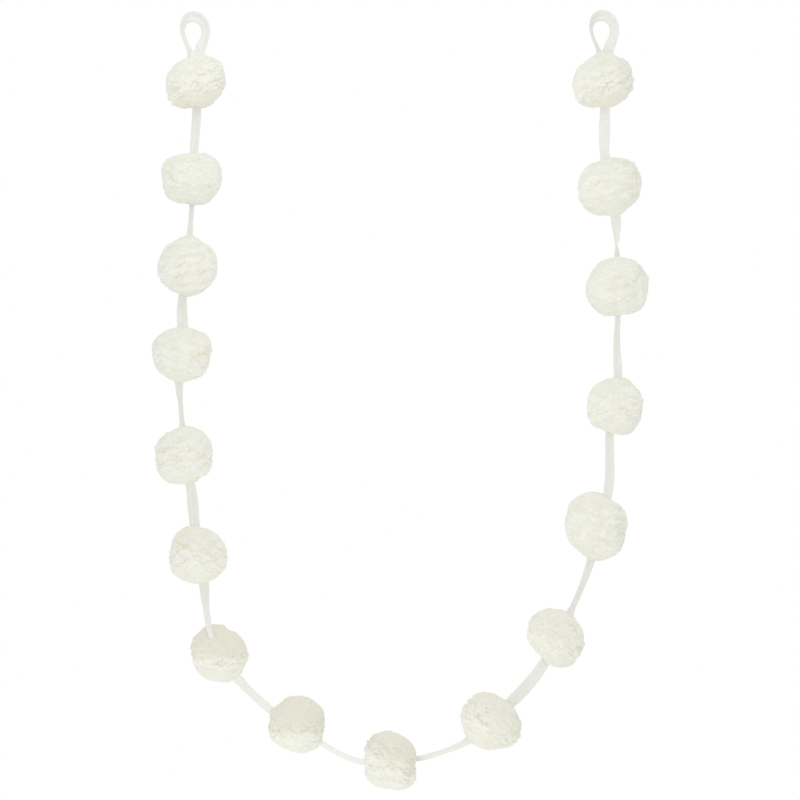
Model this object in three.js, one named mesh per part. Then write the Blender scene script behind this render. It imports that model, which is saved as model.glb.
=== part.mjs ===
// Pom-pom garland: sixteen yarn pompoms threaded on one cotton tape, with a loop of the same tape at each
// end. It hangs by its loops in the XZ plane, +Z up, and is seen from -Y. The origin is where a hook bears,
// inside the top of the left loop. Everything is in millimetres and degrees.
import * as THREE from "three";

// The tape
const TAPE_WIDTH = 12;
const TAPE_THICKNESS = 1.6;
const TAPE_CREASE = 0.8; // how far the lengthwise fold stands off the line between the two edges
const TAPE_STEP = 6; // length of tape from one section to the next
const LEAST_STEPS = 5; // a short span is still divided into this many
const BEND_REACH = 0.9; // how much of a span's length the curve takes to leave a pompom's own direction

// The pompoms
const CLEARANCE = 0.3; // air between tape and yarn
const AROUND = 24; // points round a pompom's axis, a multiple of eight for the sake of the slot's corners
const RINGS = 11; // rings of points from the tape's way in to its way out
const MOUTH = 0.92; // where the tape meets the yarn, as a share of the way from the middle to the surface
const SLOT_RIM = 9.5; // the yarn's first ring stands this far from the tape's middle line
const SOCKET_RIM = 13.5; // the same round the two legs of an end loop
const FRINGE = 0.2; // the yarn's body stops this far inside the outline, which its curled ends reach
const LUMP = { height: 1.1, round: 3, along: 3 }; // broad swells: how high, and how many each way
const RUFFLE = 1.3; // unevenness from one point to the next
const PARTING_DEPTH = 1.8; // the groove where the yarn parts round the middle
const PARTING_SPREAD = 12; // half width of that groove, as an angle
const FORWARD_LEFT = 0.5; // a tape led in at the front comes out behind by this share of the same angle

// The curled locks round a pompom's middle
const LOCK_BANDS = [3, 5, 7]; // bands between rings that carry locks, one further on in odd pompoms
const LOCK_PITCH = 4; // one lock in this many faces round a band
const LOCK_INSET = 0.16; // a lock's root keeps this share of its face free on each side
const LOCK_TIP = 0.46; // a lock's tip is this share of its root's size
const LOCK_HEIGHT = { least: 1.5, most: 3.2 };
const LOCK_LEAN = 2.2; // how far a tip curls sideways

// The end loops, both of one shape: where each hangs, and the socket its legs go into
const LOOP_PLACES = [
  { name: "loop_left", x: 0, z: 0 },
  { name: "loop_right", x: 439.4, z: 1.1 },
];
const LOOP_STEP = 5;
const SOCKET = { halfAcross: 9.5, halfThrough: 6 };

// The middle line of a loop from the end of its left leg, over the arch, to the end of its right leg,
// measured from the point where the hook bears. Turn is how far the tape is turned away from lying flat to
// the viewer.
const loopLine = [
  { x: -2.9, z: -49.4, turn: 60 },
  { x: -3.4, z: -40.3, turn: 64 },
  { x: -4.4, z: -33.3, turn: 68 },
  { x: -6.9, z: -25.3, turn: 71 },
  { x: -10.4, z: -17.0, turn: 72 },
  { x: -12.5, z: -8.7, turn: 72 },
  { x: -11.2, z: -0.6, turn: 62 },
  { x: -6.9, z: 4.8, turn: 38 },
  { x: -0.4, z: 6.4, turn: 14 },
  { x: 6.4, z: 4.0, turn: 26 },
  { x: 11.0, z: -1.8, turn: 37 },
  { x: 12.6, z: -8.7, turn: 40 },
  { x: 11.9, z: -17.0, turn: 42 },
  { x: 8.9, z: -25.2, turn: 40 },
  { x: 6.8, z: -33.3, turn: 34 },
  { x: 6.1, z: -40.3, turn: 30 },
  { x: 5.9, z: -49.4, turn: 30 },
];

// The pompoms in the order in which the tape runs through them. x and z are the middle, wide and tall the
// half sizes, and tilt their clockwise turn. enters and leaves are where the tape goes in and out, clockwise
// from straight up. turn is the tape's turn inside, and parting the angle from the way in to the groove in
// the yarn. forward, where it is given, is how far the way in lies towards the viewer, as an angle.
const pompoms = [
  { x: 1.6, z: -64.5, wide: 33.5, tall: 27.8, tilt: -14, enters: 2, leaves: 177, turn: 40, parting: 95 },
  { x: -2.6, z: -168.2, wide: 33.6, tall: 28.6, enters: 6, leaves: 181, turn: 54, parting: 70 },
  { x: -7.0, z: -261.6, wide: 33.2, tall: 31.5, enters: 5, leaves: 189, turn: 27, parting: 112 },
  { x: -13.4, z: -356.8, wide: 32.4, tall: 30.4, enters: 1, leaves: 184, turn: 25, parting: 92 },
  { x: -11.3, z: -465.4, wide: 31.8, tall: 31.0, enters: 1, leaves: 163, turn: 50, parting: 84 },
  { x: 3.8, z: -571.9, wide: 31.9, tall: 30.9, enters: -5, leaves: 169, turn: 20, parting: 88 },
  { x: 26.7, z: -678.3, wide: 30.4, tall: 31, enters: -23, leaves: 142, turn: 66, parting: 98, forward: 50 },
  { x: 110.3, z: -754.2, wide: 30.6, tall: 30.6, enters: -58, leaves: 124, turn: 50, parting: 92 },
  { x: 211.5, z: -793.6, wide: 30.3, tall: 31.8, enters: -91, leaves: 86, turn: 70, parting: 90 },
  { x: 318.9, z: -751.1, wide: 34.0, tall: 29.4, tilt: 40, enters: -132, leaves: 46, turn: 42, parting: 84 },
  { x: 388.4, z: -661.5, wide: 33.6, tall: 29.4, tilt: 52, enters: -157, leaves: 33, turn: 32, parting: 94 },
  { x: 431.3, z: -540.4, wide: 34.4, tall: 35.7, enters: -175, leaves: 22, turn: 42, parting: 88 },
  { x: 452.2, z: -412.8, wide: 31.1, tall: 32.5, enters: -173, leaves: 3, turn: 42, parting: 90 },
  { x: 454.5, z: -284.6, wide: 34.0, tall: 32.5, enters: 180, leaves: 0, turn: 63, parting: 80 },
  { x: 446.7, z: -176.0, wide: 35.5, tall: 31.0, tilt: -9, enters: 168, leaves: -9, turn: 160, parting: 96 },
  { x: 440.2, z: -64.0, wide: 33.5, tall: 27.8, tilt: -14, enters: 177, leaves: 4, turn: 180, parting: 90 },
];

// The tape's turn in each span, from one pompom to the next: just after it comes out, half way, and just
// before it goes in.
const spans = [
  { near: 38, middle: 38, far: 42 },
  { near: 66, middle: 60, far: 30 },
  { near: 44, middle: 18, far: 2 },
  { near: 46, middle: 70, far: 70 },
  { near: 32, middle: 2, far: 30 },
  { near: 12, middle: 46, far: 70 },
  { near: 34, middle: 30, far: 30 },
  { near: 66, middle: 68, far: 70 },
  { near: 70, middle: 70, far: 68 },
  { near: 8, middle: 6, far: 10 },
  { near: 50, middle: 48, far: 45 },
  { near: 38, middle: 40, far: 44 },
  { near: 44, middle: 56, far: 68 },
  { near: 60, middle: 86, far: 135 },
  { near: 178, middle: 176, far: 178 },
];
const SPAN_STOPS = [0, 0.18, 0.5, 0.82, 1]; // where those turns hold, with the pompoms' own at the two ends

const DEPTH = new THREE.Vector3(0, 1, 0);
const radians = THREE.MathUtils.degToRad;
const random = THREE.MathUtils.seededRandom; // called once with a pompom's own seed, then without
const uneven = () => 2 * random() - 1;

// A closed surface put together from rings of points
class Skin {
  constructor() {
    this.points = [];
    this.corners = [];
  }

  ring(points) {
    const first = this.points.length;
    this.points.push(...points);
    return points.map((_, i) => first + i);
  }

  quad(a, b, c, d) {
    this.corners.push(a, b, c, a, c, d);
  }

  // The faces between two rings; faceAt may take a face over by returning true
  band(ringA, ringB, faceAt = () => false) {
    ringA.forEach((a, i) => {
      const next = (i + 1) % ringA.length;
      const face = [a, ringA[next], ringB[next], ringB[i]];
      if (!faceAt(i, face)) {
        this.quad(...face);
      }
    });
  }

  // A lock of yarn on one face: a root set in from the face's edges, four sides and a smaller tip
  lock(face, outwards, height, lean) {
    const corners = face.map((i) => this.points[i]);
    const middle = corners.reduce((sum, p) => sum.add(p), new THREE.Vector3()).divideScalar(corners.length);
    const tipMiddle = middle.clone().addScaledVector(outwards, height).add(lean);
    const root = this.ring(corners.map((p) => p.clone().lerp(middle, LOCK_INSET)));
    const tipCorner = (i) => this.points[i].clone().sub(middle).multiplyScalar(LOCK_TIP).add(tipMiddle);
    const tip = this.ring(root.map(tipCorner));
    this.band(face, root);
    this.band(root, tip);
    this.quad(...tip);
  }

  geometry() {
    const shape = new THREE.BufferGeometry();
    shape.setFromPoints(this.points);
    shape.setIndex(this.corners);
    shape.computeVertexNormals();
    return shape;
  }
}

// The tape's own directions where it runs along heading: across its width, and through its thickness
function tapeAxes(heading, turn) {
  const across = DEPTH.clone().cross(heading).normalize().applyAxisAngle(heading, radians(turn));
  const through = heading.clone().cross(across).normalize();
  return { across, through };
}

// A section of the tape: left, fold and right of one face, then right, fold and left of the other
function tapeSection({ place, heading, turn }) {
  const { across, through } = tapeAxes(heading, turn);
  const half = TAPE_THICKNESS / 2;
  const outline = [
    [-1, half],
    [0, half + TAPE_CREASE],
    [1, half],
    [1, -half],
    [0, -half + TAPE_CREASE],
    [-1, -half],
  ];
  return outline.map(([u, v]) =>
    place
      .clone()
      .addScaledVector(across, (u * TAPE_WIDTH) / 2)
      .addScaledVector(through, v),
  );
}

// A band of tape through a row of sections, closed at both ends
function sweptTape(stations) {
  const skin = new Skin();
  const rings = stations.map((station) => skin.ring(tapeSection(station)));
  for (let i = 1; i < rings.length; i += 1) {
    skin.band(rings[i], rings[i - 1]);
  }
  const [first, last] = [rings[0], rings.at(-1)];
  skin.quad(first[0], first[1], first[4], first[5]);
  skin.quad(first[1], first[2], first[3], first[4]);
  skin.quad(last[5], last[4], last[1], last[0]);
  skin.quad(last[4], last[3], last[2], last[1]);
  return skin.geometry();
}

// A direction that many degrees clockwise from straight up, leaning that many degrees towards the viewer
function clockDirection(clock, forward) {
  const flat = Math.cos(radians(forward));
  return new THREE.Vector3(
    Math.sin(radians(clock)) * flat,
    -Math.sin(radians(forward)),
    Math.cos(radians(clock)) * flat,
  );
}

// The distance from a point inside a pompom to its smooth outline in a direction
function reach(pompom, from, direction) {
  const turned = (v) => v.clone().applyAxisAngle(DEPTH, -radians(pompom.tilt ?? 0));
  const deep = (pompom.wide + pompom.tall) / 2;
  const sizes = new THREE.Vector3(pompom.wide, deep, pompom.tall).subScalar(FRINGE);
  const start = turned(from.clone().sub(new THREE.Vector3(pompom.x, 0, pompom.z))).divide(sizes);
  const way = turned(direction).divide(sizes);
  const a = way.lengthSq();
  const b = start.dot(way);
  const c = start.lengthSq() - 1;
  return (-b + Math.sqrt(b * b - a * c)) / a;
}

// Where the tape goes into and out of a pompom, and the straight line between the two
function chordOf(pompom) {
  const middle = new THREE.Vector3(pompom.x, 0, pompom.z);
  const forward = pompom.forward ?? 0;
  const mouth = (clock, forward) => {
    const way = clockDirection(clock, forward);
    return middle.clone().addScaledVector(way, MOUTH * reach(pompom, middle, way));
  };
  const entry = mouth(pompom.enters, forward);
  const exit = mouth(pompom.leaves, -forward * FORWARD_LEFT);
  const heading = exit.clone().sub(entry).normalize();
  return { entry, exit, heading, turn: pompom.turn };
}

// The same chord walked from its other end
function turnedRound({ entry, exit, heading, turn }) {
  return { entry: exit, exit: entry, heading: heading.clone().negate(), turn: -turn };
}

// A ring round the tape's slot or a loop's socket: a rectangle with the tape's fold, in as many points as a
// ring of the pompom's surface
function mouthRing(place, { across, through }, halfAcross, halfThrough, fold) {
  return Array.from({ length: AROUND }, (_, i) => {
    const angle = (2 * Math.PI * i) / AROUND;
    const longest = Math.max(Math.abs(Math.cos(angle)), Math.abs(Math.sin(angle)));
    const u = Math.cos(angle) / longest;
    const v = Math.sin(angle) / longest;
    return place
      .clone()
      .addScaledVector(across, u * halfAcross)
      .addScaledVector(through, v * halfThrough + fold * (1 - Math.abs(u)));
  });
}

function slotRing(place, axes) {
  return mouthRing(place, axes, TAPE_WIDTH / 2 + CLEARANCE, TAPE_THICKNESS / 2 + CLEARANCE, TAPE_CREASE);
}

// A pompom: its surface from the mouth at one end of the chord to the mouth at the other, and the slot
// between. With a socket, the start of the chord takes the two legs of a loop, down to a floor with the
// tape's end in it.
function pompomGeometry(pompom, chord, socketDepth, seed) {
  const { entry, exit, heading, turn: endTurn } = chord;
  const middle = entry.clone().lerp(exit, 0.5);
  const skin = new Skin();
  random(seed);
  const swell = { round: 2 * Math.PI * random(), along: 2 * Math.PI * random() };

  // A socket lies flat to the viewer, and the rings above the tape turn towards it
  const startTurn = socketDepth ? 180 * Math.round(endTurn / 180) : endTurn;
  const rim = (socketDepth ? SOCKET_RIM : SLOT_RIM) / pompom.tall;
  const firstAngle = Math.asin(rim);
  const lastAngle = Math.PI - Math.asin(SLOT_RIM / pompom.tall);

  const startAxes = tapeAxes(heading, startTurn);
  const endAxes = tapeAxes(heading, endTurn);
  const start = socketDepth
    ? mouthRing(entry, startAxes, SOCKET.halfAcross, SOCKET.halfThrough, 0)
    : slotRing(entry, startAxes);
  const rings = [skin.ring(start)];

  for (let k = 0; k < RINGS; k += 1) {
    const polar = THREE.MathUtils.lerp(firstAngle, lastAngle, k / (RINGS - 1));
    const turn = THREE.MathUtils.lerp(startTurn, endTurn, k / (RINGS - 1));
    const { across, through } = tapeAxes(heading, turn);
    const fromParting = (polar - radians(pompom.parting)) / radians(PARTING_SPREAD);
    const groove = PARTING_DEPTH * Math.exp(-(fromParting ** 2));
    const points = Array.from({ length: AROUND }, (_, i) => {
      const angle = (2 * Math.PI * i) / AROUND;
      const way = heading
        .clone()
        .multiplyScalar(-Math.cos(polar))
        .addScaledVector(across, Math.sin(polar) * Math.cos(angle))
        .addScaledVector(through, Math.sin(polar) * Math.sin(angle));
      const swells = Math.sin(LUMP.round * angle + swell.round) * Math.sin(LUMP.along * polar + swell.along);
      const relief = Math.sin(polar) * (LUMP.height * swells + RUFFLE * uneven()) - groove;
      return middle.clone().addScaledVector(way, reach(pompom, middle, way) + relief);
    });
    rings.push(skin.ring(points));
  }
  rings.push(skin.ring(slotRing(exit, endAxes)));
  if (socketDepth) {
    const floor = entry.clone().addScaledVector(heading, socketDepth);
    rings.push(skin.ring(slotRing(floor, endAxes)));
    rings.push(skin.ring(mouthRing(floor, startAxes, SOCKET.halfAcross, SOCKET.halfThrough, 0)));
  }

  const withLock = (band) => (i, face) => {
    if (!LOCK_BANDS.includes(band - (seed % 2)) || (i + band) % LOCK_PITCH !== 0) {
      return false;
    }
    const [corner, , opposite] = face;
    const faceMiddle = skin.points[corner].clone().lerp(skin.points[opposite], 0.5);
    const outwards = faceMiddle.sub(middle).normalize();
    const height = THREE.MathUtils.lerp(LOCK_HEIGHT.least, LOCK_HEIGHT.most, random());
    const lean = new THREE.Vector3(uneven(), uneven(), uneven()).multiplyScalar(LOCK_LEAN);
    skin.lock(face, outwards, height, lean);
    return true;
  };
  rings.forEach((ring, band) => {
    skin.band(ring, rings[(band + 1) % rings.length], withLock(band));
  });
  return skin.geometry();
}

// The tape between two pompoms: a curve that leaves one and enters the next along their chords
function spanStations(from, to, turns) {
  const gap = from.exit.distanceTo(to.entry);
  const startPull = from.heading.clone().multiplyScalar(gap * BEND_REACH);
  const endPull = to.heading.clone().multiplyScalar(gap * BEND_REACH);
  const steps = Math.max(LEAST_STEPS, Math.round(gap / TAPE_STEP));
  const stations = [];
  for (let i = 1; i < steps; i += 1) {
    const t = i / steps;
    const place = new THREE.Vector3()
      .addScaledVector(from.exit, 2 * t ** 3 - 3 * t ** 2 + 1)
      .addScaledVector(startPull, t ** 3 - 2 * t ** 2 + t)
      .addScaledVector(to.entry, -2 * t ** 3 + 3 * t ** 2)
      .addScaledVector(endPull, t ** 3 - t ** 2);
    const heading = new THREE.Vector3()
      .addScaledVector(from.exit, 6 * t ** 2 - 6 * t)
      .addScaledVector(startPull, 3 * t ** 2 - 4 * t + 1)
      .addScaledVector(to.entry, -6 * t ** 2 + 6 * t)
      .addScaledVector(endPull, 3 * t ** 2 - 2 * t)
      .normalize();
    stations.push({ place, heading, turn: valueAt(turns, t) });
  }
  return stations;
}

// The value at a share of the way along a row of values held at the span's stops, eased between them
function valueAt(values, t) {
  const k = Math.min(SPAN_STOPS.findLastIndex((stop) => stop <= t), values.length - 2);
  const share = THREE.MathUtils.smoothstep(t, SPAN_STOPS[k], SPAN_STOPS[k + 1]);
  return THREE.MathUtils.lerp(values[k], values[k + 1], share);
}

// A loop's stations along its middle line
function loopStations({ x, z }) {
  const line = new THREE.CatmullRomCurve3(loopLine.map((row) => new THREE.Vector3(x + row.x, 0, z + row.z)));
  const steps = Math.round(line.getLength() / LOOP_STEP);
  return Array.from({ length: steps + 1 }, (_, i) => {
    const t = i / steps;
    const row = Math.min(Math.floor(t * (loopLine.length - 1)), loopLine.length - 2);
    const share = t * (loopLine.length - 1) - row;
    const atEnd = i === 0 || i === steps;
    const heading = atEnd ? new THREE.Vector3(0, 0, i === 0 ? 1 : -1) : line.getTangent(t);
    const turn = THREE.MathUtils.lerp(loopLine[row].turn, loopLine[row + 1].turn, share);
    return { place: line.getPoint(t), heading, turn };
  });
}

const garland = new THREE.Group();
const cotton = { color: 0xebeee8, roughness: 0.9, metalness: 0 };
const yarn = { color: 0xf2efe0, roughness: 1, metalness: 0 };

function add(name, geometry, finish) {
  const mesh = new THREE.Mesh(geometry, new THREE.MeshStandardMaterial(finish));
  mesh.name = name;
  garland.add(mesh);
}

// The loops
for (const place of LOOP_PLACES) {
  add(place.name, sweptTape(loopStations(place)), cotton);
}

// The pompoms. The first and last have their loop's socket, down to just under the ends of its legs.
const chords = pompoms.map(chordOf);
const legEnd = loopLine[0].z - CLEARANCE;
const socketDepths = [
  chords[0].entry.z - LOOP_PLACES[0].z - legEnd,
  chords.at(-1).exit.z - LOOP_PLACES[1].z - legEnd,
];
pompoms.forEach((pompom, i) => {
  const name = "pompom_" + String(i + 1).padStart(2, "0");
  const isLast = i === pompoms.length - 1;
  const chord = isLast ? turnedRound(chords[i]) : chords[i];
  const socketDepth = i === 0 ? socketDepths[0] : isLast ? socketDepths[1] : 0;
  add(name, pompomGeometry(pompom, chord, socketDepth, i + 1), yarn);
});

// The tape, from the floor of the first socket through every pompom to the floor of the last
const stations = [];
chords.forEach(({ entry, exit, heading, turn }, i) => {
  const first = i === 0 ? entry.clone().addScaledVector(heading, socketDepths[0]) : entry;
  const last = i === chords.length - 1 ? exit.clone().addScaledVector(heading, -socketDepths[1]) : exit;
  stations.push({ place: first, heading, turn }, { place: last, heading, turn });
  if (i < spans.length) {
    const { near, middle, far } = spans[i];
    const turns = [turn, near, middle, far, pompoms[i + 1].turn];
    stations.push(...spanStations(chords[i], chords[i + 1], turns));
  }
});
add("tape", sweptTape(stations), cotton);

export default garland;
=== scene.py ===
import math

import bpy
import numpy as np
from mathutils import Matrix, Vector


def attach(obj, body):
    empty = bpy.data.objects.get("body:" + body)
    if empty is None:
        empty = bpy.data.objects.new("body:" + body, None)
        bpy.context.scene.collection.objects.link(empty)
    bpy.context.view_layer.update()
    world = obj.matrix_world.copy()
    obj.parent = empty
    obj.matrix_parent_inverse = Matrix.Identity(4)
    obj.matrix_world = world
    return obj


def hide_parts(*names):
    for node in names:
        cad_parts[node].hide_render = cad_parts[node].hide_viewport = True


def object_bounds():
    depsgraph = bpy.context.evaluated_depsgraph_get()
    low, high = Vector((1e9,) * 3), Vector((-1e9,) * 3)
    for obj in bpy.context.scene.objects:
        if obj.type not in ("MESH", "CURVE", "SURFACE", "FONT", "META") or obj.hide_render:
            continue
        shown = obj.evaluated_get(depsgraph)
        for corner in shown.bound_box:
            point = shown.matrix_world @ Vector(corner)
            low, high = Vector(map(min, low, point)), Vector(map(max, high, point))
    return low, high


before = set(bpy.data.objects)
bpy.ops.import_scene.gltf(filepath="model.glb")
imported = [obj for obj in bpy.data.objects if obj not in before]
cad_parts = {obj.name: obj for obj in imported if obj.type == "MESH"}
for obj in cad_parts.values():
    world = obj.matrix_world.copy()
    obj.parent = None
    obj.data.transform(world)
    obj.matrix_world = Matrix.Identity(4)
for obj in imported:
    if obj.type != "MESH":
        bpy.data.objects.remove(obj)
cad_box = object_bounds()

# The garland hangs in the XZ plane and is seen from -Y. Sizes are in metres and angles in degrees.
# A clock angle runs clockwise from straight up, as the viewer sees it.


# The pompoms: sixteen balls of dense ivory wool yarn, bound, cut and trimmed with shears until slightly flat.
# The yarn has felted smooth over the two ends of each ball. Between them its cut ends stand up in a band of
# small curls, and here and there the yarn parts in a crease.

# x, z: a pompom's middle. wide, tall: its half sizes. tilt: the clock angle that those are turned by.
# enters, leaves: the clock angles where the tape goes in and comes out.
# lie: the clock angle of the yarn's own axis.
# band, spread, curl: how far up that axis the curls are, how far they spread and how high they stand.
# rise_in, rise_out: how far the felt climbs up the tape.
# lobes: how the trimming strays from an oval: how many rises it has, how high, and the clock angle of one.
# tufts: further patches of curls: clock angle, lean towards the viewer, and reach.
# warm: painted shade, how much darker and warmer the yarn of the upper end is coloured, or of the lower end
# where it is less than zero.
# neck: the half width of the felt that closes round a loop's two legs.
# forward: how far the place where the tape goes in leans to the viewer.
# heads: the clock angle and the lean that the tape has as it goes in there.
POMPOMS = [
    dict(x=0.0018, z=-0.0649, wide=0.0322, tall=0.0265, tilt=-14, enters=1, leaves=177,
         lie=-18, band=-0.12, spread=0.36, curl=0.9, rise_in=0.0092, rise_out=0.001,
         lobes=[(2, 0.0007, 44), (3, 0.0006, 52), (4, 0.0011, -43), (5, 0.0002, 18), (6, 0.0010, -25)],
         tufts=[(75, 35, 28)], end_shade=-0.5, neck=0.0105),
    dict(x=-0.0027, z=-0.1675, wide=0.0327, tall=0.0277, tilt=0, enters=6, leaves=178,
         lie=3, band=0.05, spread=0.5, curl=0.4, rise_in=0.001, rise_out=0.0015,
         lobes=[(2, 0.0003, -81), (3, 0.0006, 52), (4, 0.0008, -45), (5, 0.0008, 8), (6, 0.0003, -20)],
         tufts=[], end_shade=0),
    dict(x=-0.0067, z=-0.2626, wide=0.0316, tall=0.0299, tilt=0, enters=3, leaves=190,
         lie=-14, band=-0.1, spread=0.45, curl=0.7, rise_in=0.005, rise_out=0.001,
         lobes=[(2, 0.0004, -5), (3, 0.0003, -57), (4, 0.0004, -14), (5, 0.0005, -27)],
         tufts=[], end_shade=0),
    dict(x=-0.0127, z=-0.3564, wide=0.0310, tall=0.0290, tilt=0, enters=1, leaves=187,
         lie=4, band=-0.02, spread=0.42, curl=0.5, rise_in=0.0015, rise_out=0.003,
         lobes=[(2, 0.0008, 83), (3, 0.0009, 41), (4, 0.0003, -30), (5, 0.0006, -8), (6, 0.0002, 4)],
         tufts=[], end_shade=0),
    dict(x=-0.0109, z=-0.4656, wide=0.0308, tall=0.0300, tilt=0, enters=-2, leaves=166,
         lie=2, band=-0.05, spread=0.55, curl=0.75, rise_in=0.002, rise_out=0.002,
         lobes=[(2, 0.0014, 33), (3, 0.0003, -21), (4, 0.0008, 30), (5, 0.0003, 15), (6, 0.0004, -6)],
         tufts=[], end_shade=0),
    dict(x=0.0039, z=-0.5723, wide=0.0309, tall=0.0299, tilt=0, enters=-5, leaves=167,
         lie=8, band=-0.05, spread=0.42, curl=0.8, rise_in=0.001, rise_out=0.002,
         lobes=[(3, 0.0013, -23), (4, 0.0006, -37), (5, 0.0003, 28), (6, 0.0002, 22)],
         tufts=[(70, 45, 30)], end_shade=0.25),
    dict(x=0.0267, z=-0.6782, wide=0.0293, tall=0.0299, tilt=0, enters=-23, leaves=146,
         lie=2, band=-0.1, spread=0.3, curl=1.0, rise_in=0, rise_out=0.0065,
         lobes=[(2, 0.0014, -43), (3, 0.0010, -41), (4, 0.0005, -8), (5, 0.0004, -1), (6, 0.0004, -13)],
         tufts=[], end_shade=1.0, forward=56, heads=(171, -32)),
    dict(x=0.1108, z=-0.7547, wide=0.0296, tall=0.0296, tilt=0, enters=-62, leaves=128,
         lie=-2, band=-0.18, spread=0.3, curl=1.05, rise_in=0.003, rise_out=0.002,
         lobes=[(2, 0.0007, 16), (3, 0.0012, 29), (4, 0.0012, -20), (6, 0.0002, -8)],
         tufts=[], end_shade=1.0),
    dict(x=0.2110, z=-0.7940, wide=0.0286, tall=0.0301, tilt=0, enters=-92, leaves=85,
         lie=28, band=0.15, spread=0.55, curl=1.0, rise_in=0.001, rise_out=0.001,
         lobes=[(2, 0.0015, -11), (3, 0.0006, 2), (4, 0.0011, -33), (5, 0.0006, -2), (6, 0.0003, 5)],
         tufts=[(-50, 40, 35), (60, 35, 35)], end_shade=0.8),
    dict(x=0.3189, z=-0.7517, wide=0.0330, tall=0.0284, tilt=40, enters=-130, leaves=46,
         lie=34, band=-0.02, spread=0.42, curl=0.85, rise_in=0.002, rise_out=0,
         lobes=[(3, 0.0006, -18), (4, 0.0006, 34), (5, 0.0005, -15)],
         tufts=[(98, 30, 42)], end_shade=0.45),
    dict(x=0.3889, z=-0.6605, wide=0.0320, tall=0.0278, tilt=52, enters=-157, leaves=31,
         lie=30, band=-0.08, spread=0.42, curl=0.6, rise_in=0.002, rise_out=0,
         lobes=[(2, 0.0007, -45), (3, 0.0006, 35), (4, 0.0007, -22), (5, 0.0006, 30), (6, 0.0003, 28)],
         tufts=[(88, 22, 40)], end_shade=0.3),
    dict(x=0.4320, z=-0.5408, wide=0.0335, tall=0.0348, tilt=0, enters=-173, leaves=22,
         lie=14, band=-0.05, spread=0.48, curl=0.45, rise_in=0.003, rise_out=0,
         lobes=[(2, 0.0023, -35), (3, 0.0004, 43), (4, 0.0014, -17), (5, 0.0003, 3), (6, 0.0003, -2)],
         tufts=[(80, 20, 42)], end_shade=0),
    dict(x=0.4527, z=-0.4122, wide=0.0291, tall=0.0305, tilt=0, enters=-168, leaves=5,
         lie=0, band=-0.05, spread=0.45, curl=0.5, rise_in=0.001, rise_out=0.001,
         lobes=[(2, 0.0010, -64), (3, 0.0011, 30), (4, 0.0004, -27), (5, 0.0007, 14), (6, 0.0004, 10)],
         tufts=[(68, 35, 40)], end_shade=0),
    dict(x=0.4548, z=-0.2844, wide=0.0329, tall=0.0314, tilt=0, enters=178, leaves=0,
         lie=-6, band=0.0, spread=0.48, curl=0.45, rise_in=0.001, rise_out=0.002,
         lobes=[(2, 0.0003, 71), (3, 0.0007, 11), (4, 0.0006, 39), (5, 0.0008, -20), (6, 0.0007, 26)],
         tufts=[(78, 22, 40)], end_shade=0),
    dict(x=0.4465, z=-0.1768, wide=0.0348, tall=0.0303, tilt=-9, enters=168, leaves=-8,
         lie=-6, band=-0.05, spread=0.48, curl=0.5, rise_in=0.001, rise_out=0.001,
         lobes=[(2, 0.0014, 30), (3, 0.0003, 57), (4, 0.0004, -31), (5, 0.0002, 14), (6, 0.0005, -17)],
         tufts=[(62, 30, 40)], end_shade=0),
    dict(x=0.4397, z=-0.0644, wide=0.0328, tall=0.0271, tilt=-14, enters=175, leaves=3,
         lie=-16, band=-0.12, spread=0.38, curl=0.9, rise_in=0.001, rise_out=0.0098,
         lobes=[(2, 0.0002, 37), (3, 0.0004, -30), (4, 0.0012, -40), (5, 0.0003, -31), (6, 0.0007, -21)],
         tufts=[(80, 30, 30)], end_shade=-0.5, neck=0.0105),
]

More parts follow.
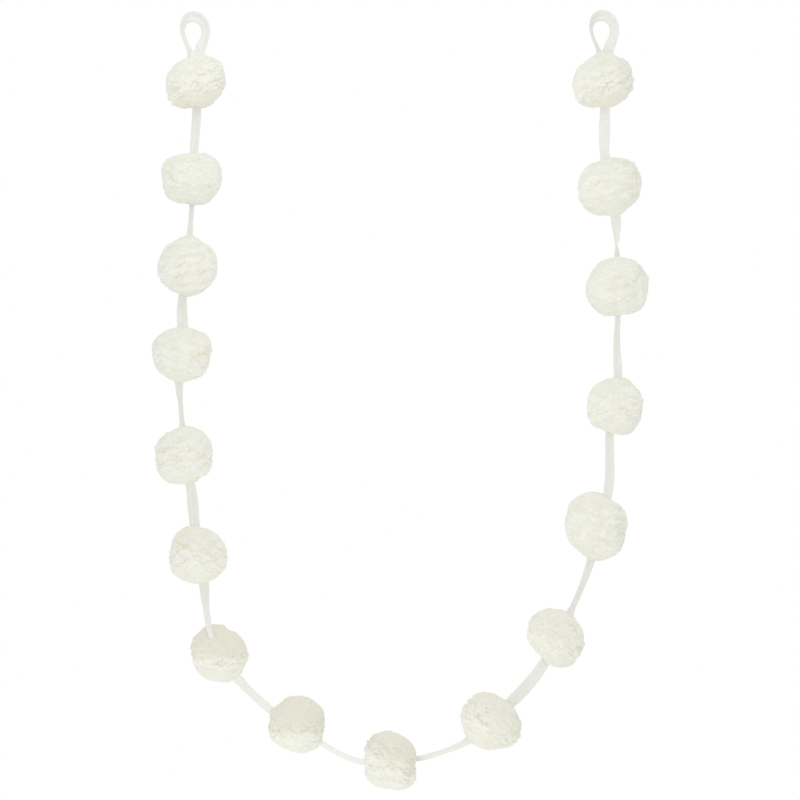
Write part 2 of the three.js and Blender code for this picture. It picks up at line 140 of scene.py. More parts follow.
# The creases where the yarn parts. height: how far up the yarn's axis a crease lies.
# start, end: the angles round that axis that it runs between, with 0 facing the viewer and 90 to the right.
# depth: how deep it is. slope: how far up the axis it climbs in a quarter turn to the right.
PARTINGS = [
    dict(pompom=1, height=0.06, start=5, end=38, depth=0.0012, slope=0),
    dict(pompom=1, height=-0.02, start=-70, end=-15, depth=0.0011, slope=0),
    dict(pompom=1, height=-0.36, start=-60, end=20, depth=0.0008, slope=0),
    dict(pompom=2, height=0.56, start=-28, end=24, depth=0.0019, slope=0.25),
    dict(pompom=2, height=-0.45, start=-50, end=20, depth=0.0007, slope=0),
    dict(pompom=3, height=-0.11, start=0, end=36, depth=0.0016, slope=0),
    dict(pompom=3, height=-0.42, start=-60, end=-5, depth=0.0011, slope=0),
    dict(pompom=4, height=0.04, start=32, end=62, depth=0.0034, slope=0),
    dict(pompom=4, height=0.35, start=-46, end=-4, depth=0.0010, slope=0),
    dict(pompom=5, height=0.12, start=-52, end=-15, depth=0.0018, slope=0),
    dict(pompom=5, height=-0.06, start=-20, end=45, depth=0.0008, slope=0),
    dict(pompom=6, height=0.33, start=-62, end=-8, depth=0.0014, slope=-0.2),
    dict(pompom=6, height=0.13, start=5, end=46, depth=0.0015, slope=-0.5),
    dict(pompom=6, height=-0.15, start=-40, end=0, depth=0.0008, slope=0),
    dict(pompom=7, height=-0.06, start=-70, end=70, depth=0.0006, slope=0),
    dict(pompom=8, height=-0.1, start=-60, end=70, depth=0.0007, slope=0),
    dict(pompom=9, height=0.38, start=-40, end=60, depth=0.0014, slope=0),
    dict(pompom=9, height=0.02, start=-60, end=10, depth=0.0018, slope=0),
    dict(pompom=9, height=-0.3, start=-10, end=55, depth=0.0010, slope=0),
    dict(pompom=10, height=-0.07, start=-42, end=10, depth=0.0017, slope=0),
    dict(pompom=10, height=-0.34, start=10, end=70, depth=0.0009, slope=0),
    dict(pompom=11, height=-0.01, start=-30, end=8, depth=0.0015, slope=0),
    dict(pompom=11, height=-0.42, start=-30, end=5, depth=0.0009, slope=0),
    dict(pompom=12, height=0.155, start=-12, end=18, depth=0.0015, slope=0),
    dict(pompom=12, height=-0.2, start=-60, end=10, depth=0.0006, slope=0),
    dict(pompom=13, height=-0.1, start=-24, end=14, depth=0.0013, slope=0),
    dict(pompom=13, height=-0.22, start=6, end=42, depth=0.0014, slope=-0.7),
    dict(pompom=14, height=0.22, start=-22, end=20, depth=0.0015, slope=0),
    dict(pompom=14, height=-0.12, start=-30, end=30, depth=0.0013, slope=0),
    dict(pompom=15, height=0.0, start=28, end=46, depth=0.0015, slope=0),
    dict(pompom=15, height=0.05, start=-35, end=5, depth=0.0008, slope=0),
    dict(pompom=15, height=-0.5, start=-50, end=-10, depth=0.0010, slope=0),
    dict(pompom=16, height=0.06, start=5, end=38, depth=0.0012, slope=0),
    dict(pompom=16, height=-0.04, start=-70, end=-15, depth=0.0011, slope=0),
    dict(pompom=16, height=-0.4, start=-50, end=20, depth=0.0007, slope=0),
]

SQUARENESS = 2.25  # 2 is a true ellipsoid, and more is fuller at the shoulders
PILE = 0.0006  # the yarn's body stays this far inside the outline, which leaves room for the strands
SWELLS = [(5.0, 0.0008), (9.0, 0.0006), (15.0, 0.0005)]  # how fine the swells are, and how high
RIDGES = (23.0, 0.0009)  # the same for the ridges
RIDGE_DRAW = 0.45  # how fine the ridges are round the yarn's axis, as a share of how fine they are along it
UNEVEN = dict(ragged=(6.0, 100), broken=(12.0, 400), clouded=(26.0, 500))  # how fine each is, and its seed
CREASE_WIDTH = 0.055
MOUTH_SPREAD = 0.0085  # how far from the tape the felt's climb has mostly died away
MOUTH_FILL = 0.6  # how much of the pile's depth the felt makes up round the tape
BARE_MOUTH = 14  # the yarn stays felted within this angle of the tape, and its curls are full at twice that
SKIN_START = 0.012  # the skin is pressed on from this far outside the outline, past any felt that climbs
SKIN_RADIUS = 0.031
FINEST = 0.00081  # finer than this, neighbouring strands are matted into one
SOFTENING = 2  # how many times the skin is softened over each layer of strands

# Locks are bundles of strands that lie over each other round the yarn's axis, and curls are single cut ends
# on top of them. Of each pair of sizes, the first is for the felted ends of the ball and the second for its
# curly band. stray: how far they turn aside.
LOCKS = dict(
    seed=200, count=340, length=(0.0100, 0.0092), width=(0.0040, 0.0036), height=(0.0006, 0.0033), stray=0.3
)
CURLS = dict(
    seed=300, count=420, length=(0.0062, 0.0058), width=(0.0032, 0.0031), height=(0.0003, 0.0027), stray=0.7
)
OPEN_CREASE = 0.0015  # no strand roots where a crease is deeper than this
FREE_OF_TAPE = 0.0055  # or this near to the middle of the tape

# The colour carries painted shade: darker and warmer deep in the pile, in the creases, and over one end of
# some balls.
PILE_SHADE = 0.0018  # the height of pile that the painted shade fades over, from the roots to the tips
CREASE_SHADE = 0.0020  # a crease this deep takes the full painted shade
CREASE_SHADE_WIDTH = 0.10  # the painted shade spreads past the crease itself
LOWER_END = -0.45  # where on the yarn's axis the painted shade of the lower end starts
END_SHADE_FADE = 0.34  # how far along the axis the painted shade of the end takes to come in

TOWARDS_VIEWER = np.array([0.0, -1.0, 0.0])


def clock(angle, forward=0):
    """The direction at a clock angle, leaning that many degrees towards the viewer."""
    flat = math.cos(math.radians(forward))
    a = math.radians(angle)
    return np.array([math.sin(a) * flat, -math.sin(math.radians(forward)), math.cos(a) * flat])


def unit(rows):
    return rows / np.linalg.norm(rows, axis=-1, keepdims=True)


def swells(ways, fineness, random):
    """A smooth unevenness over a ball, from about -1 to 1."""
    waves = unit(random.normal(size=(7, 3))) * fineness * random.uniform(0.7, 1.3, (7, 1))
    starts = random.uniform(0, 2 * math.pi, 7)
    return np.sin(ways @ waves.T + starts).mean(axis=1) * 1.9


def uneven(kind, number, ways):
    """A pompom's own unevenness of that kind."""
    fineness, seed = UNEVEN[kind]
    return swells(ways, fineness, np.random.default_rng(seed + number))


def outline(ball, ways):
    """How far the trimmed ball reaches in each direction."""
    up, right = clock(ball["tilt"]), clock(ball["tilt"] + 90)
    deep = (ball["wide"] + ball["tall"]) / 2
    sides = np.column_stack([ways @ right / ball["wide"], ways[:, 1] / deep, ways @ up / ball["tall"]])
    reach = (np.abs(sides) ** SQUARENESS).sum(axis=1) ** (-1 / SQUARENESS)
    round_angle, sideways = np.arctan2(ways[:, 0], ways[:, 2]), np.hypot(ways[:, 0], ways[:, 2])
    for count, height, at in ball["lobes"]:
        reach += height * np.cos(count * (round_angle - math.radians(at))) * sideways**2
    return reach


def yarn_places(ball, ways):
    """For each direction: how far up the yarn's axis it is, and the angle round that axis."""
    up, right = clock(ball["lie"]), clock(ball["lie"] + 90)
    return ways @ up, np.degrees(np.arctan2(ways @ right, ways @ TOWARDS_VIEWER))


def parting_depth(ball, number, ways, width=CREASE_WIDTH):
    """How deep the creases are at each direction."""
    height, round_angle = yarn_places(ball, ways)
    depth = np.zeros(len(ways))
    wander = 0.05 * np.sin(np.radians(round_angle) * 3.0 + number)
    broken = np.clip(0.75 + 0.5 * uneven("broken", number, ways), 0, 1)
    for parting in PARTINGS:
        if parting["pompom"] == number:
            middle = (parting["start"] + parting["end"]) / 2
            climb = parting["slope"] * (round_angle - middle) / 90
            across = (height - parting["height"] - climb - wander) / width
            along = np.abs(round_angle - middle) / ((parting["end"] - parting["start"]) / 2)
            depth += parting["depth"] * np.exp(-(across**2)) * np.clip(1.6 - 1.6 * along**3, 0, 1)
    return depth * broken


def mouths(ball):
    """The tape's way in and its way out, which leans back half as far, and how far the felt climbs each."""
    forward = ball.get("forward", 0)
    return [
        (clock(ball["enters"], forward), ball["rise_in"]),
        (clock(ball["leaves"], -forward / 2), ball["rise_out"]),
    ]


def curliness(ball, number, ways):
    """1 where the yarn stands up in curls, and 0 where it has felted smooth."""
    height, _ = yarn_places(ball, ways)
    ragged = uneven("ragged", number, ways)
    from_band = np.abs(height - ball["band"] + 0.10 * ragged) / ball["spread"]
    curly = np.clip(1.5 - from_band, 0.0, 1.0) * ball["curl"]
    for turn, forward, reach in ball["tufts"]:
        aside = np.degrees(np.arccos(np.clip(ways @ clock(turn, forward), -1, 1))) + 8 * ragged
        curly = np.maximum(curly, np.clip(1.7 - 1.4 * aside / reach, 0.0, 1.05))
    for mouth, _ in mouths(ball):
        aside = np.degrees(np.arccos(np.clip(ways @ mouth, -1, 1)))
        curly *= np.clip((aside - BARE_MOUTH) / BARE_MOUTH, 0, 1)
    return curly


def lumps(ball, number, ways):
    """The swells all over a ball, and the ridges round its axis, which are highest in its curly band."""
    random = np.random.default_rng(number)
    raised = np.zeros(len(ways))
    for fineness, height in SWELLS:
        raised += height * swells(ways, fineness, random)
    up, right = clock(ball["lie"]), clock(ball["lie"] + 90)
    drawn_out = np.column_stack([ways @ right * RIDGE_DRAW, ways[:, 1] * RIDGE_DRAW, ways @ up])
    fineness, height = RIDGES
    ridges = height * swells(drawn_out, fineness, random) * (0.35 + 0.75 * curliness(ball, number, ways))
    return raised, ridges


def yarn_surface(ball, number, ways):
    """How far the yarn's body reaches in each direction, under its strands."""
    raised, ridges = lumps(ball, number, ways)
    reach = outline(ball, ways) - PILE + raised + ridges - parting_depth(ball, number, ways)
    for mouth, rise in mouths(ball):
        aside = np.linalg.norm(np.cross(ways, mouth), axis=1) * ball["wide"]
        near = (ways @ mouth) > 0
        felt = np.exp(-((aside / MOUTH_SPREAD) ** 2))
        if "neck" in ball and mouth[2] > 0:
            felt = np.exp(-((aside / ball["neck"]) ** 3))
        reach += near * (rise + PILE * MOUTH_FILL) * felt
    return reach


def model_strand():
    """One strand, a unit long and wide: a blunt worm that bends a little and tapers to its tip along +X."""
    bpy.ops.object.select_all(action="DESELECT")
    quarter = math.radians(90)
    bpy.ops.mesh.primitive_circle_add(
        vertices=6, radius=0.3, fill_type="NGON", location=(-0.40, 0, -0.10), rotation=(0, quarter, 0)
    )
    bpy.ops.object.transform_apply(location=True, rotation=True)
    bpy.ops.object.mode_set(mode="EDIT")
    bpy.ops.mesh.select_all(action="SELECT")
    stretches = [(0.22, 0.08, 0.08, 1.65), (0.26, 0.0, 0.02, 1.0), (0.26, -0.10, -0.06, 0.7)]
    for along, aside, rise, size in stretches:
        bpy.ops.mesh.extrude_region_move(TRANSFORM_OT_translate={"value": (along, aside, rise)})
        bpy.ops.transform.resize(value=(size, size, size))
    bpy.ops.mesh.extrude_region_move(TRANSFORM_OT_translate={"value": (0.18, -0.06, -0.10)})
    bpy.ops.mesh.merge(type="CENTER")
    bpy.ops.mesh.select_all(action="SELECT")
    bpy.ops.mesh.normals_make_consistent(inside=False)
    bpy.ops.object.mode_set(mode="OBJECT")
    return bpy.context.object


def even_directions(count, random):
    """Directions spread evenly over a ball, each moved a little by chance."""
    i = np.arange(count) + 0.5
    polar, turn = np.arccos(1 - 2 * i / count), math.pi * (1 + math.sqrt(5)) * i
    ways = np.column_stack([np.sin(polar) * np.cos(turn), np.sin(polar) * np.sin(turn), np.cos(polar)])
    return unit(ways + random.normal(scale=0.45 * math.sqrt(4 * math.pi / count) / 2, size=ways.shape))


def add_layer(mesh, name, values):
    layer = mesh.attributes.new(name, "FLOAT", "POINT")
    layer.data.foreach_set("value", np.ascontiguousarray(values, np.float32))


def between(pair, curly):
    return pair[0] + (pair[1] - pair[0]) * curly


def lay_strands(strand, sizes, ball, number, surface):
    """A pompom's locks or its curls, as one mesh of copies of the strand that root in the surface."""
    random = np.random.default_rng(sizes["seed"] + number)
    ways = even_directions(sizes["count"], random)
    for mouth, _ in mouths(ball):
        aside = np.linalg.norm(np.cross(ways, mouth), axis=1) * ball["wide"]
        ways = ways[(aside > FREE_OF_TAPE) | (ways @ mouth < 0)]
    ways = ways[parting_depth(ball, number, ways) < OPEN_CREASE]
    count = len(ways)
    curly = curliness(ball, number, ways)
    place = np.array([surface.ray_cast((0, 0, 0), way)[1] for way in ways])

    up = clock(ball["lie"])
    along = unit(np.cross(up, ways) + 1e-6) * np.where(random.random((count, 1)) < 0.5, -1.0, 1.0)
    angle = random.normal(scale=sizes["stray"], size=(count, 1))
    along = along * np.cos(angle) + np.cross(ways, along) * np.sin(angle)
    across = np.cross(ways, along)
    length = between(sizes["length"], curly) * random.uniform(0.75, 1.3, count)
    width = between(sizes["width"], curly) * random.uniform(0.8, 1.2, count)
    height = between(sizes["height"], curly) * random.uniform(0.5, 1.4, count)
    shape = np.array([v.co for v in strand.data.vertices])
    frames = np.stack([along * length[:, None], across * width[:, None], ways * height[:, None]], axis=1)
    points = np.einsum("vk,ckj->cvj", shape, frames) + place[:, None, :]

    mesh = bpy.data.meshes.new("strands")
    faces = [list(p.vertices) for p in strand.data.polygons]
    faces = [[i + k * len(shape) for i in face] for k in range(count) for face in faces]
    mesh.from_pydata(points.reshape(-1, 3), [], faces)
    made = bpy.data.objects.new("strands", mesh)
    bpy.context.collection.objects.link(made)
    return made


def wind_yarn(ball, number):
    """The yarn's body: a ball shaped to the trimmed outline, with its lumps, creases and felted ends."""
    bpy.ops.object.select_all(action="DESELECT")
    bpy.ops.mesh.primitive_ico_sphere_add(subdivisions=6, radius=1)
    body = bpy.context.object
    ways = unit(np.array([v.co for v in body.data.vertices]))
    body.data.vertices.foreach_set("co", (ways * yarn_surface(ball, number, ways)[:, None]).ravel())
    return body


def model_skin():
    """A plain ball of even small faces, which is pressed onto each pompom in turn."""
    bpy.ops.object.select_all(action="DESELECT")
    bpy.ops.mesh.primitive_ico_sphere_add(subdivisions=5, radius=SKIN_RADIUS)
    skin = bpy.context.object
    skin.data.remesh_voxel_size = FINEST
    bpy.ops.object.voxel_remesh()
    bpy.ops.object.shade_smooth()
    return skin


def mat_together(skin, ball, body, strands):
    """One unbroken skin over the body and its strands, softened a little, as wool mats together."""
    bpy.ops.object.select_all(action="DESELECT")
    strands.select_set(True)
    body.select_set(True)
    bpy.context.view_layer.objects.active = body
    bpy.ops.object.join()
    matted = skin.copy()
    matted.data = skin.data.copy()
    bpy.context.collection.objects.link(matted)
    ways = unit(np.array([v.co for v in matted.data.vertices]))
    matted.data.vertices.foreach_set("co", (ways * (outline(ball, ways) + SKIN_START)[:, None]).ravel())
    press = matted.modifiers.new("press", "SHRINKWRAP")
    press.target = body
    press.wrap_method = "PROJECT"
    press.use_positive_direction = False
    press.use_negative_direction = True
    soften = matted.modifiers.new("soften", "SMOOTH")
    soften.factor = 0.5
    soften.iterations = SOFTENING
    bpy.ops.object.select_all(action="DESELECT")
    bpy.context.view_layer.objects.active = matted
    matted.select_set(True)
    bpy.ops.object.modifier_apply(modifier="press")
    bpy.ops.object.modifier_apply(modifier="soften")
    bpy.data.objects.remove(body)
    return matted


def mark_colours(body, ball, number):
    """Layers for the painted shade in the yarn's colour: how far up the pile each point is, how deep in a
    crease, and how far into the shaded end of the ball.
    """
    points = np.array([v.co for v in body.data.vertices])
    ways = unit(points)
    _, ridges = lumps(ball, number, ways)
    # painted shade: the colour darkens from the strands' tips down into the hollows between them, and the
    # tops of the ridges stay lighter
    above = np.linalg.norm(points, axis=1) - yarn_surface(ball, number, ways) + 1.2 * ridges
    add_layer(body.data, "pile", np.clip(0.35 + above / PILE_SHADE, 0.0, 1.0))
    # painted shade in the creases where the yarn parts
    crease = parting_depth(ball, number, ways, CREASE_SHADE_WIDTH) / CREASE_SHADE
    add_layer(body.data, "crease", np.clip(crease, 0.0, 1.0))
    # painted shade: the end of a ball that the lamps reach less, its upper end or, where the value is below
    # zero, its lower end, made darker and warmer
    height, _ = yarn_places(ball, ways)
    side = height - ball["band"] if ball["end_shade"] > 0 else LOWER_END - height
    side = side + 0.15 * uneven("clouded", number, ways)
    end_shade = np.clip((side + 0.17) / END_SHADE_FADE, 0.0, 1.0)
    add_layer(body.data, "end_shade", abs(ball["end_shade"]) * end_shade)


def yarn_material():
    """Ivory wool, with painted shade: lighter at the cut ends, a darker and warmer cream deeper down the pile
    and in the creases, and over one end of some balls.
    """
    made = bpy.data.materials.new("ivory_yarn")
    made.use_nodes = True
    nodes, links = made.node_tree.nodes, made.node_tree.links
    shader = nodes["Principled BSDF"]
    shader.inputs["Roughness"].default_value = 1.0
    shader.inputs["Specular IOR Level"].default_value = 0.12
    shader.inputs["Sheen Weight"].default_value = 0.25
    shader.inputs["Sheen Roughness"].default_value = 0.6
    shader.inputs["Sheen Tint"].default_value = (1.0, 0.98, 0.93, 1)

    # painted shade: the deeper a point lies in the pile, the darker and warmer its colour, lightest at the
    # tips
    pile = nodes.new("ShaderNodeAttribute")
    pile.attribute_name = "pile"
    shade_down_pile = nodes.new("ShaderNodeValToRGB")
    ramp = shade_down_pile.color_ramp
    ramp.elements[0].position, ramp.elements[0].color = 0.15, (0.845, 0.84, 0.745, 1)
    ramp.elements[1].position, ramp.elements[1].color = 0.55, (0.875, 0.88, 0.805, 1)
    tip = ramp.elements.new(1.0)
    tip.color = (0.92, 0.92, 0.86, 1)
    links.new(pile.outputs["Fac"], shade_down_pile.inputs["Fac"])
    before = shade_down_pile.outputs["Color"]
    # painted shade over one end of the ball, then in the creases, each mixed in by its layer
    for layer, shade_tint in [("end_shade", (0.835, 0.825, 0.725, 1)), ("crease", (0.865, 0.85, 0.71, 1))]:
        share = nodes.new("ShaderNodeAttribute")
        share.attribute_name = layer
        shaded = nodes.new("ShaderNodeMix")
        shaded.data_type, shaded.blend_type = "RGBA", "MIX"
        shaded.inputs["B"].default_value = shade_tint
        links.new(share.outputs["Fac"], shaded.inputs["Factor"])
        links.new(before, shaded.inputs["A"])
        before = shaded.outputs["Result"]
    links.new(before, shader.inputs["Base Color"])

    where = nodes.new("ShaderNodeTexCoord")
    fibres = nodes.new("ShaderNodeTexNoise")
    fibres.inputs["Scale"].default_value = 1400
    fibres.inputs["Detail"].default_value = 4
    fibres.inputs["Roughness"].default_value = 0.65
    relief = nodes.new("ShaderNodeBump")
    relief.inputs["Strength"].default_value = 0.15
    relief.inputs["Distance"].default_value = 0.0004
    links.new(where.outputs["Object"], fibres.inputs["Vector"])
    links.new(fibres.outputs["Fac"], relief.inputs["Height"])
    links.new(relief.outputs["Normal"], shader.inputs["Normal"])
    return made


yarn = yarn_material()
strand = model_strand()
skin = model_skin()
pompoms = []
for number, ball in enumerate(POMPOMS, start=1):
    body = wind_yarn(ball, number)
    for sizes in (LOCKS, CURLS):
        strands = lay_strands(strand, sizes, ball, number, body)
        body = mat_together(skin, ball, body, strands)
    mark_colours(body, ball, number)
    body.name = body.data.name = f"pompom_yarn_{number:02}"
    bpy.ops.transform.translate(value=(ball["x"], 0, ball["z"]))
    bpy.ops.object.transform_apply(location=True)
    body.data.materials.clear()
    body.data.materials.append(yarn)
    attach(body, "root")
    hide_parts(f"pompom_{number:02}")
    pompoms.append(body)
bpy.data.objects.remove(strand)
bpy.data.objects.remove(skin)


# The tape: one length of soft 12 mm cotton tape threaded through all the pompoms. It is woven flat, has taken
# a soft fold down its length, and turns and bends a little on its way from one pompom to the next.
TAPE_WIDTH = 0.012
TAPE_THICKNESS = 0.0012
TAPE_FOLD = 0.0014  # how far the lengthwise fold stands up
TAPE_STEP = 0.003  # how far apart the tape's rows of points are between pompoms
LEAST_STEPS = 8
STEP_INSIDE = 0.012  # and inside them
BEND_REACH = 0.9  # how much of a span's length the curve takes to leave a pompom's own direction
MOUTH = 0.92  # where the tape meets the yarn, as a share of the way from the middle to the outline
END_BELOW = 0.0497  # how far below the hook the tape's end is, inside the first pompom
LAST_END_BELOW = 0.0486  # and inside the last

# How far the tape is turned out of the picture inside each pompom
TURNS_INSIDE = [36, 45, 45, 20, 42, 20, 20, 48, 57, 28, 34, 37, 37, 60, 145, 140]

# The spans of tape between the pompoms. turns: how far the tape is turned just after it leaves a pompom, half
# way, and just before it enters the next. gather: how wide it is there, as a share of its own width.
# bow: how far the span's middle strays from its curve: to the right where the tape runs down, to the left
# where it runs up, and up where it runs level.
SPANS = [
    dict(turns=(33, 34, 34)),
    dict(turns=(62, 63, 54), bow=-0.0004),
    dict(turns=(37, 22, 2), bow=-0.0008),
    dict(turns=(45, 64, 62), bow=0.0006),
    dict(turns=(26, 6, 22), bow=0.0004),
    dict(turns=(24, 38, 14), gather=(0.97, 0.75, 0.47), bow=-0.0009),
    dict(turns=(31, 42, 38), bow=0.0003),
    dict(turns=(58, 58, 54)),
    dict(turns=(57, 59, 52), bow=0.0013),
    dict(turns=(2, 4, 10), gather=(1.08, 1.08, 1)),
    dict(turns=(57, 54, 44)),
    dict(turns=(30, 33, 37), bow=-0.0008),
    dict(turns=(37, 49, 58), bow=0.0023),
    dict(turns=(59, 118, 148)),
    dict(turns=(142, 172, 152)),
]
SPAN_STOPS = [0, 0.18, 0.5, 0.82, 1]


def chord(ball):
    """Where the tape goes into a pompom and comes out, and the way between."""
    middle = np.array([ball["x"], 0, ball["z"]])
    ends = []
    for way, _ in mouths(ball):
        ends.append(middle + way * MOUTH * outline(ball, way[None, :])[0])
    return ends[0], ends[1], unit(ends[1] - ends[0])


def eased(values, t):
    """The value at a share of the way along a span, from the values at its stops."""
    k = min(max(i for i, stop in enumerate(SPAN_STOPS) if stop <= t), len(values) - 2)
    share = (t - SPAN_STOPS[k]) / (SPAN_STOPS[k + 1] - SPAN_STOPS[k])
    share = share * share * (3 - 2 * share)
    return values[k] + (values[k + 1] - values[k]) * share


def span(start, start_way, end, end_way, turns, gathers=(1, 1, 1, 1, 1), bow=0):
    """The tape's places, ways, turns and gathers between two pompoms."""
    aside = unit(np.array([start[2] - end[2], 0, end[0] - start[0]]))
    gap = np.linalg.norm(end - start)
    pull, push = start_way * gap * BEND_REACH, end_way * gap * BEND_REACH
    steps = max(LEAST_STEPS, round(gap / TAPE_STEP))
    rows = []
    for i in range(1, steps):
        t = i / steps
        place = (2 * t**3 - 3 * t**2 + 1) * start + (t**3 - 2 * t**2 + t) * pull
        place = place + (3 * t**2 - 2 * t**3) * end + (t**3 - t**2) * push
        way = (6 * t**2 - 6 * t) * start + (3 * t**2 - 4 * t + 1) * pull
        way = way + (6 * t - 6 * t**2) * end + (3 * t**2 - 2 * t) * push
        place = place + aside * bow * 16 * (t * (1 - t)) ** 2
        rows.append((place, unit(way), eased(turns, t), eased(gathers, t)))
    return rows


def tape_route():
    """The tape's places, ways, turns and gathers from end to end, straight inside each pompom."""
    chords = [chord(ball) for ball in POMPOMS]
    gathers = [stretch.get("gather", (1, 1, 1)) for stretch in SPANS]
    rows = []
    for i, (entry, leaving, way) in enumerate(chords):
        if i == 0:
            entry = entry + way * (entry[2] + END_BELOW)
        if i == len(chords) - 1:
            leaving = leaving - way * (leaving[2] + LAST_END_BELOW)
        steps = max(2, round(np.linalg.norm(leaving - entry) / STEP_INSIDE))
        first = gathers[i - 1][2] if i > 0 else 1
        last = gathers[i][0] if i < len(SPANS) else 1
        for k in range(steps + 1):
            t = k / steps
            rows.append((entry + (leaving - entry) * t, way, TURNS_INSIDE[i], first + (last - first) * t))
        if i < len(SPANS):
            turns = [TURNS_INSIDE[i], *SPANS[i]["turns"], TURNS_INSIDE[i + 1]]
            narrow = [gathers[i][0], *gathers[i], gathers[i][2]]
            heads = POMPOMS[i + 1].get("heads")
            end_way = clock(*heads) if heads else chords[i + 1][2]
            rows += span(leaving, way, chords[i + 1][0], end_way, turns, narrow, SPANS[i].get("bow", 0))
    return rows


ACROSS = [-1, -0.9, -0.62, -0.3, 0, 0.3, 0.62, 0.9, 1]  # the lines of points down one face of the tape


def tape_section(place, way, turn, width, fold):
    """The points round the tape at one place, down one face and back up the other."""
    depth_axis = np.array([0.0, 1.0, 0.0])
    flat = unit(np.cross(depth_axis, way))
    away = np.cross(way, flat)
    a = math.radians(turn)
    across = flat * math.cos(a) + away * math.sin(a)
    through = np.cross(way, across)
    points = []
    for side in (1, -1):
        for u in ACROSS if side > 0 else ACROSS[::-1]:
            round_off = 1 - 0.75 * max(0.0, (abs(u) - 0.8) / 0.2) ** 2
            lift = fold * (1 - abs(u)) ** 1.3 + side * TAPE_THICKNESS / 2 * round_off
            points.append(place + across * u * width / 2 + through * lift)
    return points


def weave_tape(name, rows, fold_at):
    """A closed strip of tape through a row of places, with a UV map in millimetres across and along it."""
    rings = []
    for k, (place, way, turn, gather) in enumerate(rows):
        rings.append(tape_section(place, way, turn, TAPE_WIDTH * gather, fold_at(k)))
    around = len(rings[0])
    half_width = TAPE_WIDTH * 500  # in millimetres
    faces, corners = [], []
    run = np.concatenate([[0], np.cumsum([np.linalg.norm(b[0] - a[0]) for a, b in zip(rows, rows[1:])])])
    shares = ACROSS + ACROSS[::-1]
    for k in range(len(rings) - 1):
        for i in range(around):
            j = (i + 1) % around
            faces.append([k * around + i, (k + 1) * around + i, (k + 1) * around + j, k * around + j])
            for ring, point in [(k, i), (k + 1, i), (k + 1, j), (k, j)]:
                corners += [shares[point] * half_width, run[ring] * 1000]
    for k in (0, len(rings) - 1):
        base = k * around
        for i in range(len(ACROSS) - 1):
            face = [base + i, base + i + 1, base + around - 2 - i, base + around - 1 - i]
            faces.append(face if k == 0 else face[::-1])
            corners += [0.0] * 8
    mesh = bpy.data.meshes.new(name)
    mesh.from_pydata(np.array(rings).reshape(-1, 3), [], faces)
    mesh.uv_layers.new(name="weave").data.foreach_set("uv", corners)
    strip = bpy.data.objects.new(name, mesh)
    bpy.context.collection.objects.link(strip)
    bpy.ops.object.select_all(action="DESELECT")
    strip.select_set(True)
    bpy.context.view_layer.objects.active = strip
    bpy.ops.object.mode_set(mode="EDIT")
    bpy.ops.mesh.select_all(action="SELECT")
    bpy.ops.mesh.normals_make_consistent(inside=False)
    bpy.ops.object.mode_set(mode="OBJECT")
    bpy.ops.object.shade_smooth()
    return strip


def cotton_material():
    """Off-white cotton, woven in fine ribs across the tape and in lines along it."""
    made = bpy.data.materials.new("cotton_tape")
    made.use_nodes = True
    nodes, links = made.node_tree.nodes, made.node_tree.links
    shader = nodes["Principled BSDF"]
    shader.inputs["Roughness"].default_value = 0.9
    shader.inputs["Specular IOR Level"].default_value = 0.2
    shader.inputs["Sheen Weight"].default_value = 0.15
    shader.inputs["Sheen Roughness"].default_value = 0.5
    where = nodes.new("ShaderNodeUVMap")
    where.uv_map = "weave"
    weft = nodes.new("ShaderNodeTexWave")
    weft.bands_direction = "Y"
    weft.inputs["Scale"].default_value = 0.42
    weft.inputs["Distortion"].default_value = 0.6
    warp = nodes.new("ShaderNodeTexWave")
    warp.bands_direction = "X"
    warp.inputs["Scale"].default_value = 0.5
    both = nodes.new("ShaderNodeMath")
    both.operation = "MULTIPLY"
    relief = nodes.new("ShaderNodeBump")
    relief.inputs["Strength"].default_value = 0.35
    relief.inputs["Distance"].default_value = 0.0002
    cloudy = nodes.new("ShaderNodeTexNoise")
    cloudy.inputs["Scale"].default_value = 0.25
    cloudy.inputs["Detail"].default_value = 3
    colour = nodes.new("ShaderNodeValToRGB")
    colour.color_ramp.elements[0].position = 0.3
    colour.color_ramp.elements[0].color = (0.875, 0.88, 0.845, 1)
    colour.color_ramp.elements[1].position = 0.7
    colour.color_ramp.elements[1].color = (0.92, 0.925, 0.895, 1)
    for texture in (weft, warp, cloudy):
        links.new(where.outputs["UV"], texture.inputs["Vector"])
    links.new(weft.outputs["Fac"], both.inputs[0])
    links.new(warp.outputs["Fac"], both.inputs[1])
    links.new(both.outputs[0], relief.inputs["Height"])
    links.new(cloudy.outputs["Fac"], colour.inputs["Fac"])
    links.new(colour.outputs["Color"], shader.inputs["Base Color"])
    links.new(relief.outputs["Normal"], shader.inputs["Normal"])
    return made


cotton = cotton_material()
route = tape_route()
tape = weave_tape("long_tape", route, lambda k: TAPE_FOLD)
tape.data.materials.append(cotton)
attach(tape, "root")
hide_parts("tape")


# The end loops: short lengths of the same tape, each bent over to a teardrop. Both ends are pushed into the
# top of the first or the last pompom, where the felt closes round them.

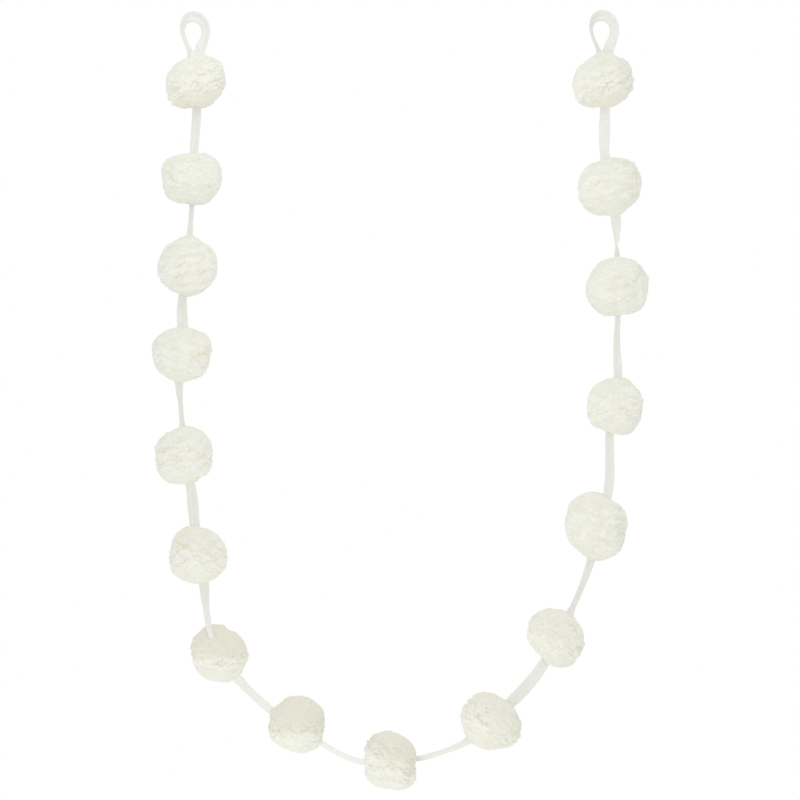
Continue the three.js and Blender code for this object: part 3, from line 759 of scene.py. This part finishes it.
# A loop's middle line, from the end of the left leg over the arch to the end of the right one.
# x, z: from where a hook bears. turn: how far the tape is turned out of the picture.
LOOP_LINE = [
    dict(x=-0.0029, z=-0.0494, turn=60),
    dict(x=-0.0030, z=-0.0403, turn=60),
    dict(x=-0.0038, z=-0.0333, turn=60),
    dict(x=-0.0069, z=-0.0253, turn=69),
    dict(x=-0.0104, z=-0.0170, turn=71),
    dict(x=-0.0125, z=-0.0087, turn=70),
    dict(x=-0.0112, z=-0.0006, turn=60),
    dict(x=-0.0069, z=0.0048, turn=36),
    dict(x=-0.0004, z=0.0064, turn=12),
    dict(x=0.0064, z=0.0040, turn=22),
    dict(x=0.0110, z=-0.0018, turn=33),
    dict(x=0.0126, z=-0.0087, turn=38),
    dict(x=0.0115, z=-0.0170, turn=38),
    dict(x=0.0079, z=-0.0252, turn=20),
    dict(x=0.0054, z=-0.0333, turn=4),
    dict(x=0.0054, z=-0.0403, turn=8),
    dict(x=0.0059, z=-0.0494, turn=20),
]
LOOP_PLACES = [("left", 0.0, 0.0), ("right", 0.4394, 0.0011)]  # where each hook bears
LOOP_STEPS = 64
ARCH_BUCKLE = 0.0012  # how much further the fold stands up where the tape is bent over


def loop_route(x, z):
    """A smooth line through a loop's points, with the tape's turn along it."""
    points = np.array([[x + p["x"], 0, z + p["z"]] for p in LOOP_LINE])
    turns = np.array([p["turn"] for p in LOOP_LINE], float)
    padded = np.vstack([2 * points[0] - points[1], points, 2 * points[-1] - points[-2]])
    rows = []
    for i in range(LOOP_STEPS + 1):
        t = i / LOOP_STEPS * (len(points) - 1)
        k = min(int(t), len(points) - 2)
        f = t - k
        a, b, c, d = padded[k : k + 4]
        once, twice, thrice = c - a, 2 * a - 5 * b + 4 * c - d, 3 * b - a - 3 * c + d
        place = 0.5 * (2 * b + once * f + twice * f**2 + thrice * f**3)
        way = 0.5 * (once + 2 * twice * f + 3 * thrice * f**2)
        rows.append((place, unit(way), turns[k] + (turns[k + 1] - turns[k]) * f, 1))
    return rows


def arch_fold(k):
    """The lengthwise fold of a loop, which buckles where the loop is bent over."""
    return TAPE_FOLD + ARCH_BUCKLE * math.exp(-(((k / LOOP_STEPS - 0.5) / 0.05) ** 2))


for side, x, z in LOOP_PLACES:
    rows = loop_route(x, z)
    loop = weave_tape(f"end_loop_{side}", rows, arch_fold)
    loop.data.materials.append(cotton)
    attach(loop, "root")
    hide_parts(f"loop_{side}")


# The studio: a pale floor well below the garland, soft light in front of it from above, below and the middle,
# and white all round. None of it is part of the garland.
FLOOR_DROP = 1.30  # how far below the lowest pompom the floor is
FLOOR_RADIUS = 3.4
CAMERA_AWAY = 4.0
FRAME_WIDTH = 0.860  # what the picture takes in at the garland
FRAME_MIDDLE = (0.22145, -0.40581)

low, high = cad_box
garland_middle = (low + high) / 2
bpy.ops.object.select_all(action="DESELECT")
bpy.ops.mesh.primitive_circle_add(
    vertices=96, radius=FLOOR_RADIUS, fill_type="NGON", location=((low.x + high.x) / 2, 0, low.z - FLOOR_DROP)
)
floor = bpy.context.object
floor.name = "floor"
paint = bpy.data.materials.new("floor_paint")
paint.use_nodes = True
paint.node_tree.nodes["Principled BSDF"].inputs["Base Color"].default_value = (0.93, 0.93, 0.92, 1)
paint.node_tree.nodes["Principled BSDF"].inputs["Roughness"].default_value = 0.9
floor.data.materials.append(paint)


def soft_light(name, place, size, power):
    """A round diffuser that faces the middle of the garland."""
    lamp = bpy.data.lights.new(name, "AREA")
    lamp.shape, lamp.size, lamp.energy = "DISK", size, power
    holder = bpy.data.objects.new(name, lamp)
    bpy.context.collection.objects.link(holder)
    holder.location = place
    holder.rotation_euler = (garland_middle - holder.location).to_track_quat("-Z", "Y").to_euler()
    holder.visible_camera = False


soft_light("upper_light", (0.05, -0.50, 0.30), 0.5, 0.62)
soft_light("lower_light", (-0.20, -0.50, -1.65), 0.5, 2.1)
soft_light("middle_light", (0.40, -0.50, -0.41), 0.5, 0.16)

world = bpy.data.worlds.new("white_room")
bpy.context.scene.world = world
world.use_nodes = True
nodes, links = world.node_tree.nodes, world.node_tree.links
room = nodes["Background"]
room.inputs["Color"].default_value = (1.0, 1.0, 0.975, 1)
room.inputs["Strength"].default_value = 0.866
backdrop = nodes.new("ShaderNodeBackground")
backdrop.inputs["Color"].default_value = (1, 1, 1, 1)
backdrop.inputs["Strength"].default_value = 1.0
seen = nodes.new("ShaderNodeLightPath")
mix = nodes.new("ShaderNodeMixShader")
links.new(seen.outputs["Is Camera Ray"], mix.inputs["Fac"])
links.new(room.outputs["Background"], mix.inputs[1])
links.new(backdrop.outputs["Background"], mix.inputs[2])
links.new(mix.outputs["Shader"], nodes["World Output"].inputs["Surface"])
bpy.context.scene.view_settings.view_transform = "Standard"

lens = bpy.data.cameras.new("camera")
camera = bpy.data.objects.new("camera", lens)
bpy.context.collection.objects.link(camera)
camera.location = (FRAME_MIDDLE[0], -CAMERA_AWAY, FRAME_MIDDLE[1])
camera.rotation_euler = (math.radians(90), 0, 0)
lens.lens = lens.sensor_width * CAMERA_AWAY / FRAME_WIDTH
lens.clip_end = 50
bpy.context.scene.camera = camera
